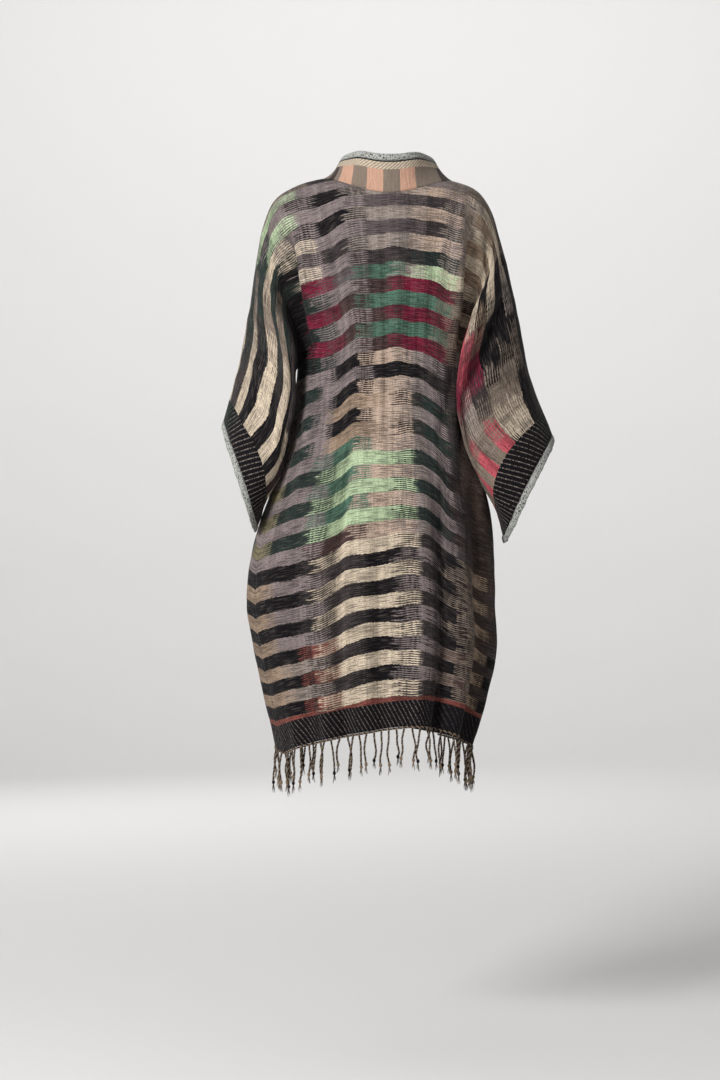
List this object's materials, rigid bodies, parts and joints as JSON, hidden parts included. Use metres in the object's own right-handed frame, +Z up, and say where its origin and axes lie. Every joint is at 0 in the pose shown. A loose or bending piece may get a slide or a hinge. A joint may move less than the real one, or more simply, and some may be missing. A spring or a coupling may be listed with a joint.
{
  "type": "long open jacket, worn, held up by its wearer's shoulders",
  "caption": "Long open jacket in striped ikat-style shawl cloth, wide cut-in-one sleeves, neck band and fringed hem, in its worn hollow form.",
  "frame": {"origin": "middle of the neck opening at shoulder level, where the wearer's shoulders carry the jacket", "axes": "+Z up, -Y the way the fronts face, +X the wearer's left"},
  "size_m": [0.5901, 0.3203, 1.1206],
  "materials": {
    "weave": "soft matt woven shawl cloth in black, cream, grey, green and burgundy bars",
    "band": "the same cloth cut across, in salmon and taupe blocks",
    "tweed": "speckled grey tweed edging",
    "fringe": "twisted black and tan yarn"
  },
  "bodies": {
    "root": {"back": "weave", "front_left": "weave", "front_right": "weave", "neck_band": "band", "neck_edging": "tweed", "cuff_edging_left": "tweed", "cuff_edging_right": "tweed", "fringe_back": "fringe", "fringe_front_left": "fringe", "fringe_front_right": "fringe"}
  },
  "joints": []
}
